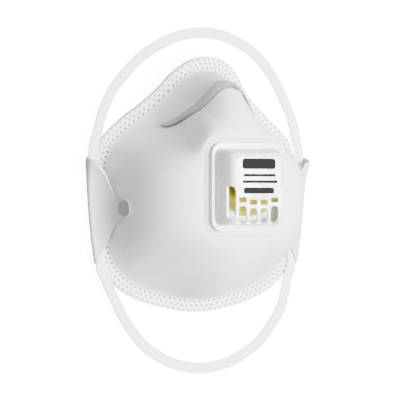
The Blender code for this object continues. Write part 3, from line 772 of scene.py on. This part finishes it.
def plastic_finish(name, colour, grain=2500, roughness=0.28, depth=0.00002):
    """Moulded plastic: glossy with a very fine moulding grain and faint cloudiness."""
    finish = Finish(name)
    place = finish.place()
    fine = finish.noise(place, grain, 2.0)
    clouds = finish.noise(place, 160, 2.0)
    finish.feed(
        Base_Color=finish.shade(colour, 0.97 + 0.06 * clouds),
        Roughness=roughness - 0.06 + 0.12 * clouds,
        Normal=finish.bump(fine, depth),
        Coat_Weight=0.25,
    )
    finish.shader.inputs["Coat Roughness"].default_value = 0.12
    finish.shader.inputs["Subsurface Weight"].default_value = 0.0
    return finish


def bar(finish, x, y, middle, half_width, half_height):
    """1 inside a plain rounded bar and 0 outside it."""
    corner = min(half_width, half_height) * 0.6
    across = (abs(x - middle[0]) - (half_width - corner)).most(0)
    up = (abs(y - middle[1]) - (half_height - corner)).most(0)
    return ((across * across + up * up) ** 0.5).step(corner + 0.00006, corner - 0.00006)


def cover_print_finish(colour):
    """Cover: ivory plastic with four plain dark bars printed on its front."""
    finish = plastic_finish("cover_plastic", colour)
    x, y, z = finish.split(finish.place())
    printed = bar(finish, x, y, (0.0, 0.0113), 0.0109, 0.0029)
    for middle, half_width, half_height in (
        ((0.0004, 0.0051), 0.0105, 0.0008),
        ((0.0008, 0.0016), 0.0115, 0.0008),
        ((0.0, -0.0032), 0.0100, 0.0017),
    ):
        printed = printed.most(bar(finish, x, y, middle, half_width, half_height))
    printed = printed * z.step(COVER_FRONT_Z - 0.0006, COVER_FRONT_Z - 0.0003)
    finish.cover(printed, (0.012, 0.012, 0.013))
    return finish


def rim_edge_x(y):
    """How far the rim's right edge lies from the middle at a height up the mask."""
    right = RIM_DENSE[RIM_DENSE[:, 0] >= 0]
    right = right[np.argsort(right[:, 1])]
    return float(np.interp(y, right[:, 1], right[:, 0]))


def wing_share(y):
    """Where a height lies along the wing: 0 at its lower mouth and 1 at its upper one."""
    return (y - WING_BOTTOM_Y) / (WING_TOP_Y - WING_BOTTOM_Y)


def fold_line(y):
    """How far the fold would lie from the middle without its flare."""
    return WING_BOTTOM_REACH + wing_share(y) * (WING_TOP_REACH - WING_BOTTOM_REACH)


def weld_place(side):
    """Where a wing is welded to the wall: (point, direction up the wall, outward normal)."""
    angle = math.atan2(WELD_Y - VALVE_Y, RIM_HALF_WIDTH - FLANGE_WIDTH)
    return wall_at_height(angle if side > 0 else math.pi - angle, WELD_Z)


def wing_grid(side, columns):
    """Rows of points over a wing, from the rim round the fold and over the leaf to the weld."""
    stops = np.linspace(-1, 1, columns)
    middle_y = (WING_TOP_Y + WING_BOTTOM_Y) / 2
    half = (WING_TOP_Y - WING_BOTTOM_Y) / 2
    ys = middle_y + half * stops
    inner = FIT_GAP + WING_THICKNESS / 2
    rows = [[(side * (rim_edge_x(y) + inner), y, WING_LEVEL) for y in ys]]
    for angle in np.linspace(-math.pi / 2, math.pi / 2, 12):
        row = []
        turned = 0.5 + angle / math.pi
        for v, y in zip(stops, ys):
            share = wing_share(y)
            flare = share**FLARE_BEND
            radius = FOLD_RADIUS + flare * MOUTH_RISE / 2
            bulge = 4 * share * (1 - share) * WING_BULGE
            corner = 0.0018 * max(0.0, v) ** 30
            x = fold_line(y) + bulge + flare * WING_FLARE - corner - radius + radius * math.cos(angle)
            cut = LEAF_CUT * turned * max(0.0, v) ** 3
            row.append((side * x, y - cut, WING_LEVEL + radius + radius * math.sin(angle)))
        rows.append(row)
    weld, up, out = weld_place(side)
    place = weld + (CLIP_GAP + WING_THICKNESS / 2) * out
    along = np.cross(up, out) * side
    foot = place - up * WELD_SIZE / 2
    tip = WELD_SIZE * 0.60
    starts = rows[-1]
    for w in np.linspace(0, 1, 26)[1:]:
        row = []
        for v, start in zip(stops, starts):
            end = foot + along * v * tip
            x = bezier(start[0], start[0] - side * STRAP_WIDTH, end[0] - up[0] * WELD_RUN, end[0], w)
            z = bezier(start[2], start[2], end[2] - up[2] * WELD_RUN, end[2], w)
            spread = np.interp((x - start[0]) / (end[0] - start[0]), LEAF_RUN, LEAF_SPREAD)
            row.append((x, foot[1] + v * tip + (start[1] - foot[1] - v * tip) * spread, z))
        rows.append(row)
    for climb, width in ((0.3, 1.0), (0.5, 1.0), (0.7, 1.0), (0.85, 0.75), (1.0, 0.5)):
        rows.append([foot + up * climb * WELD_SIZE + along * v * width * tip for v in stops])
    return rows


def wing_finish(look):
    """Wings: pressed nonwoven in a darker grey that is painted shade, with bright welted edges and a hatched
    weld spot.
    """
    finish = Finish("wing_nonwoven")
    place = finish.place()
    x, y, z = finish.split(place)
    u, v, _ = finish.split(finish.node("ShaderNodeUVMap", {"uv_map": "UVMap"}))
    weld, up, out = weld_place(1)
    centre = weld + (CLIP_GAP + WING_THICKNESS / 2) * out
    folded = finish.node("ShaderNodeCombineXYZ", None, [abs(x), y, z])
    apart = finish.node("ShaderNodeVectorMath", {"operation": "DISTANCE"}, [folded, tuple(centre)], "Value")
    spot = apart.step(WELD_SIZE * 0.53, WELD_SIZE * 0.46)
    across = finish.node("ShaderNodeVectorMath", {"operation": "DOT_PRODUCT"}, [folded, tuple(up)], "Value")
    pitch = 0.0021
    hatch = abs((across + y) / pitch % 1 - 0.5).least(abs((across - y) / pitch % 1 - 0.5)).step(0.06, 0.2)
    fibres = finish.noise(finish.stretched(place, (1.0, 2.5, 1.0)), 1300, 3.0, 0.6)
    clouds = finish.noise(place, 120, 2.0)
    edge = abs(u * 2 - 1).step(0.935, 0.96)
    edge = edge * v.step(0.30, 0.36)
    level = 0.94 + 0.06 * fibres + 0.06 * clouds
    # The darker wing grey is painted shade.
    colour = finish.blend(edge * 0.8, finish.shade(tuple(look.grey), level), (0.85, 0.86, 0.87))
    colour = finish.blend(spot * (0.42 + 0.5 * (1 - hatch)), colour, (0.24, 0.245, 0.26))
    height = fibres * 0.2 + clouds * 0.3 + edge * 0.6 - spot * (1.2 - 0.8 * hatch)
    finish.feed(Base_Color=colour, Roughness=0.8, Normal=finish.bump(height, 0.00035))
    finish.feed(Sheen_Weight=0.1)
    return finish


def strap_x(y):
    """How far the strap's middle lies from the mask's middle inside a wing's tunnel."""
    return fold_line(y) - WING_THICKNESS / 2 - STRAP_CLEARANCE - STRAP_WIDTH / 2


def eased(share):
    """A share from 0 to 1 that starts and ends gently."""
    share = max(0.0, min(1.0, share))
    return share * share * (3 - 2 * share)


def arch_line(route, mouth_y, lean, count):
    """Points along an arch of the strap, from inside the right mouth round to inside the left one."""
    straight_y = mouth_y + math.copysign(STRAP_GUIDE, mouth_y)
    half = [(strap_x(straight_y), straight_y), *route]
    left = [(-x, y) for x, y in half[:-1]]
    line = smooth_curve(half + left[::-1], count)
    step = math.dist(line[0], line[1])
    points = []
    for i, (x, y) in enumerate(line):
        run = min(i, count - 1 - i) * step
        x += lean[0] * eased(run / lean[1])
        lowered = eased((run - STRAP_HOLD) / STRAP_DESCENT)
        points.append((x, y, TUNNEL_Z + (STRAP_REST_Z - TUNNEL_Z) * lowered))
    inside_y = mouth_y - math.copysign(TUNNEL_END_GAP, mouth_y)
    lead = [(strap_x(y), y, TUNNEL_Z) for y in (inside_y, mouth_y)]
    return np.array(lead + points + [(-x, y, z) for x, y, z in lead[::-1]])


def band_section(ribs=7):
    """Section of the elastic: shares of the half width and of the half thickness, ribbed along its faces."""
    section = []
    for side in (1, -1):
        for share in np.linspace(0.93, -0.93, 29):
            rib = 0.82 + 0.18 * abs(math.cos(share * ribs * math.pi / 2))
            section.append((share * side, side * rib))
        section.append((-1.0 * side, 0.45 * side))
        section.append((-1.0 * side, -0.45 * side))
    return section


def build_band(name, points):
    """A flat ribbed band along a line of points, with its broad side up."""
    along = np.gradient(points, axis=0)
    side = np.cross(along, (0.0, 0.0, 1.0))
    side /= np.linalg.norm(side, axis=1)[:, None]
    up = np.cross(side, along)
    up /= np.linalg.norm(up, axis=1)[:, None]
    section = band_section()
    grid = [points + side * s * STRAP_WIDTH / 2 + up * h * STRAP_THICKNESS / 2 for s, h in section]
    run = np.concatenate([[0], np.cumsum(np.linalg.norm(np.diff(points, axis=0), axis=1))])
    across = [[s] * len(points) for s, _ in section] + [[section[0][0]] * len(points)]
    obj = loop_solid(name, grid, run, across)
    obj.data.set_sharp_from_angle(angle=math.radians(60))
    return obj


def strap_finish(look):
    """Elastic: off-white with fine lengthwise ribs and short cross stitches between them."""
    finish = Finish("strap_elastic")
    u, v, _ = finish.split(finish.node("ShaderNodeUVMap", {"uv_map": "UVMap"}))
    place = finish.place()
    ribs = abs(v * 7 % 2 - 1)
    knit = abs(u / 0.0009 % 1 - 0.5) * 2
    fine = finish.noise(place, 2200, 2.0)
    line = abs(abs(v) - 0.66).step(0.10, 0.03)
    # Painted shade: the colour is lighter on the ribs' crests and darker in their grooves.
    level = 0.90 + 0.08 * ribs + 0.04 * fine - 0.03 * knit - 0.10 * line
    finish.feed(
        Base_Color=finish.shade(tuple(look.white), level),
        Roughness=0.75,
        Normal=finish.bump(ribs * 0.6 + knit * 0.35 + fine * 0.2, 0.00022),
    )
    finish.feed(Sheen_Weight=0.2)
    return finish


class DUSTMASK_OT_cup(bpy.types.Operator):
    """Build the three moulded layers of the cup"""

    bl_idname = "dust_mask.cup"
    bl_label = "Cup layers"

    def execute(self, context):
        look = context.scene.dust_mask_cup
        outer = build_layer(
            "cup_outer", "outer_cover", 0, OUTER_THICKNESS, look.columns, look.wall_rows, look.dot_pitch
        )
        cover_finish(look).paint(outer)
        depth = OUTER_THICKNESS + LAYER_GAP
        core = build_layer(
            "cup_filter", "filter_layer", depth, FILTER_THICKNESS, look.columns // 2, look.wall_rows // 2,
            look.dot_pitch,
        )
        felt_finish("filter_felt", (0.80, 0.80, 0.78), look).paint(core)
        depth += FILTER_THICKNESS + LAYER_GAP
        inner = build_layer(
            "cup_support", "support_cup", depth, SUPPORT_THICKNESS, look.columns // 2, look.wall_rows // 2,
            look.dot_pitch,
        )
        felt_finish("support_felt", tuple(look.felt), look, 700).paint(inner)
        return {"FINISHED"}


class DUSTMASK_OT_clip(bpy.types.Operator):
    """Build the nose clip and the nose foam"""

    bl_idname = "dust_mask.clip"
    bl_label = "Nose clip and foam"

    def execute(self, context):
        look = context.scene.dust_mask_clip
        section = clip_section()
        grid = strip_lines(CLIP_LENGTH, CLIP_WIDTH, CLIP_HEIGHTS, look.columns, CLIP_WIDTH / 2, section)
        run = np.linspace(0, CLIP_LENGTH, look.columns)
        shares = [share for share, _ in section]
        clip = loop_solid("clip_strip", grid, run, [[share] * look.columns for share in shares + shares[:1]])
        clip.data.set_sharp_from_angle(angle=math.radians(55))
        finish = Finish("clip_metal")
        place = finish.place()
        streaks = finish.noise(finish.stretched(place, (0.25, 1.0, 1.0)), 1800, 3.0)
        clouds = finish.noise(place, 200, 2.0)
        _, share, _ = finish.split(finish.node("ShaderNodeUVMap", {"uv_map": "UVMap"}))
        # Painted shade: the strip is darkened along its two grooves, and a painted shadow darkens its edge
        # towards the valve.
        groove = abs(abs(share) - 0.36).step(0.12, 0.04)
        shadow = share.step(0.80, 0.96)
        level = 0.94 + 0.08 * clouds + 0.04 * streaks - 0.22 * groove - 0.62 * shadow
        finish.feed(
            Base_Color=finish.shade(tuple(look.metal), level),
            Metallic=0.2,
            Roughness=0.42 + 0.12 * streaks,
            Normal=finish.bump(streaks, 0.00003),
        )
        finish.paint(clip)
        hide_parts("nose_clip")
        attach(clip, "mask")
        grid = strip_lines(FOAM_LENGTH, FOAM_WIDTH, FOAM_HEIGHTS, look.columns // 2, 0.003, foam_section())
        foam = loop_solid("foam_strip", grid)
        finish = Finish("nose_foam")
        place = finish.place()
        cells = finish.node("ShaderNodeTexVoronoi", None, {"Vector": place, "Scale": 1400.0}, "Distance")
        finish.feed(
            Base_Color=finish.shade(tuple(look.foam), 0.82 + 0.3 * cells),
            Roughness=0.9,
            Normal=finish.bump(cells, 0.0002),
        )
        finish.paint(foam)
        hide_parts("nose_foam")
        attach(foam, "mask")
        return {"FINISHED"}


class DUSTMASK_OT_valve(bpy.types.Operator):
    """Build the exhalation valve: frame, backing ring, flap and slotted cover"""

    bl_idname = "dust_mask.valve"
    bl_label = "Exhalation valve"

    def execute(self, context):
        look = context.scene.dust_mask_valve
        base = softened("valve_frame", "valve_base", "mask", look.edge)
        plastic_finish("frame_plastic", tuple(look.frame)).paint(base)
        ring = softened("valve_ring", "valve_backing_ring", "mask", look.edge)
        plastic_finish("ring_plastic", tuple(look.frame), roughness=0.35).paint(ring)
        cover = softened("valve_grille", "valve_cover", "mask", look.edge * 0.7)
        cover_print_finish(tuple(look.cover)).paint(cover)
        flap = softened("valve_leaf", "valve_flap", "flap", 0.00012)
        finish = Finish("flap_rubber")
        fine = finish.noise(finish.place(), 1600, 3.0)
        finish.feed(
            Base_Color=finish.shade(tuple(look.flap), 0.9 + 0.2 * fine),
            Roughness=0.7,
            Specular_IOR_Level=0.15,
            Normal=finish.bump(fine, 0.00004),
        )
        finish.paint(flap)
        return {"FINISHED"}


class DUSTMASK_OT_wings(bpy.types.Operator):
    """Build the two side wings with their weld spots"""

    bl_idname = "dust_mask.wings"
    bl_label = "Side wings"

    def execute(self, context):
        look = context.scene.dust_mask_wing
        finish = wing_finish(look)
        for name, side in (("left", -1), ("right", 1)):
            grid = np.array(wing_grid(side, look.columns))
            if side < 0:
                grid = grid[:, ::-1]
            rows = len(grid)
            run = np.linspace(0, 1, look.columns)
            across = [[r / (rows - 1)] * look.columns for r in range(rows)][::-1]
            wing = surface(f"{name}_wing", list(grid[::-1]), run=run, across=across)
            thicken(wing, WING_THICKNESS, 0)
            finish.paint(wing)
            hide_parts(f"{name}_strap_wing")
            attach(wing, "mask")
        return {"FINISHED"}


class DUSTMASK_OT_strap(bpy.types.Operator):
    """Build the elastic strap: two free arches and the two stretches inside the wings"""

    bl_idname = "dust_mask.strap"
    bl_label = "Elastic strap"

    def execute(self, context):
        look = context.scene.dust_mask_strap
        finish = strap_finish(look)
        for name, route, mouth_y, lean in (
            ("upper_strap", UPPER_ROUTE, MOUTH_TOP_Y, UPPER_LEAN),
            ("lower_strap", LOWER_ROUTE, MOUTH_BOTTOM_Y, LOWER_LEAN),
        ):
            points = arch_line(route, mouth_y, lean, look.points)
            band = build_band(name.replace("strap", "band"), points)
            finish.paint(band)
            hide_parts(name)
            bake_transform(band)
        for name, side in (("left", -1), ("right", 1)):
            ys = np.linspace(MOUTH_TOP_Y - TUNNEL_END_GAP, MOUTH_BOTTOM_Y + TUNNEL_END_GAP, 24)
            points = np.array([(side * strap_x(y), y, TUNNEL_Z) for y in ys])
            band = build_band(f"{name}_band", points)
            finish.paint(band)
            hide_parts(f"{name}_strap_run")
            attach(band, "mask")
        return {"FINISHED"}


def area_light(name, place, target, size, power, colour=(1, 1, 1)):
    lamp = bpy.data.lights.new(name, "AREA")
    lamp.shape = "DISK"
    lamp.size = size
    lamp.energy = power
    lamp.color = colour
    obj = bpy.data.objects.new(name, lamp)
    obj.location = place
    obj.rotation_euler = (Vector(target) - Vector(place)).to_track_quat("-Z", "Y").to_euler()
    bpy.context.scene.collection.objects.link(obj)
    return obj


class DUSTMASK_OT_stage(bpy.types.Operator):
    """Set up the floor, the lights and the camera"""

    bl_idname = "dust_mask.stage"
    bl_label = "Stage"

    def execute(self, context):
        look = context.scene.dust_mask_stage
        turn = look.turn
        right = Vector((math.cos(turn), 0, math.sin(turn)))
        up = Vector((0, 1, 0))
        back = Vector((-math.sin(turn), 0, math.cos(turn)))
        build = bmesh.new()
        bmesh.ops.create_grid(build, x_segments=1, y_segments=1, size=3.0)
        mesh = bpy.data.meshes.new("floor")
        build.to_mesh(mesh)
        build.free()
        floor = bpy.data.objects.new("floor", mesh)
        floor.location.z = -FLOOR_GAP
        context.scene.collection.objects.link(floor)
        finish = Finish("floor_white")
        finish.feed(Base_Color=(0.93, 0.93, 0.93), Roughness=0.9)
        finish.feed(Emission_Color=(1.0, 1.0, 1.0), Emission_Strength=12.0)
        finish.paint(floor)
        floor.visible_diffuse = False
        floor.visible_glossy = False
        floor.visible_shadow = False
        world = bpy.data.worlds.new("room")
        world.use_nodes = True
        world.node_tree.nodes["Background"].inputs["Color"].default_value = (1.0, 1.0, 1.0, 1)
        world.node_tree.nodes["Background"].inputs["Strength"].default_value = look.fill
        context.scene.world = world
        middle = Vector((0.0, 0.0, 0.03))
        key = middle + (right * 0.95 + up * -0.03 + back * 0.60) * 0.9
        area_light("key", key, middle, 0.5, look.key)
        for name, height, share in (("low", -0.9, 0.075), ("high", 0.9, 0.12)):
            place = middle + right * -0.1 + up * height + back * 0.6
            area_light(name, place, middle, 0.8, look.key * share)
        lens = bpy.data.cameras.new("camera")
        lens.sensor_width = 36.0
        lens.lens = 36.0 * look.distance / look.view_width
        lens.clip_end = 20.0
        camera = bpy.data.objects.new("camera", lens)
        aim = right * 0.0030 + up * -0.0083
        camera.location = aim + back * look.distance
        camera.rotation_euler = (0.0, -turn, 0.0)
        context.scene.collection.objects.link(camera)
        context.scene.camera = camera
        return {"FINISHED"}


LOOKS = {
    "dust_mask_cup": CupLook,
    "dust_mask_clip": ClipLook,
    "dust_mask_valve": ValveLook,
    "dust_mask_wing": WingLook,
    "dust_mask_strap": StrapLook,
    "dust_mask_stage": StageLook,
}
OPERATORS = (
    DUSTMASK_OT_cup,
    DUSTMASK_OT_clip,
    DUSTMASK_OT_valve,
    DUSTMASK_OT_wings,
    DUSTMASK_OT_strap,
    DUSTMASK_OT_stage,
)


class DUSTMASK_PT_panel(bpy.types.Panel):
    """Lists the pieces of the mask with their settings"""

    bl_idname = "DUSTMASK_PT_panel"
    bl_label = "Dust Mask"
    bl_space_type = "VIEW_3D"
    bl_region_type = "UI"
    bl_category = "Dust Mask"

    def draw(self, context):
        for (name, look), operator in zip(LOOKS.items(), OPERATORS):
            box = self.layout.box()
            for key in look.__annotations__:
                box.prop(getattr(context.scene, name), key)
            box.operator(operator.bl_idname)


def register():
    for look in LOOKS.values():
        bpy.utils.register_class(look)
    for name, look in LOOKS.items():
        setattr(bpy.types.Scene, name, PointerProperty(type=look))
    for operator in OPERATORS:
        bpy.utils.register_class(operator)
    bpy.utils.register_class(DUSTMASK_PT_panel)


def unregister():
    bpy.utils.unregister_class(DUSTMASK_PT_panel)
    for operator in reversed(OPERATORS):
        bpy.utils.unregister_class(operator)
    for name in LOOKS:
        delattr(bpy.types.Scene, name)
    for look in reversed(list(LOOKS.values())):
        bpy.utils.unregister_class(look)


def main():
    register()
    bpy.ops.dust_mask.cup()
    bpy.ops.dust_mask.clip()
    bpy.ops.dust_mask.valve()
    bpy.ops.dust_mask.wings()
    bpy.ops.dust_mask.strap()
    bpy.ops.dust_mask.stage()


if __name__ == "__main__":
    main()
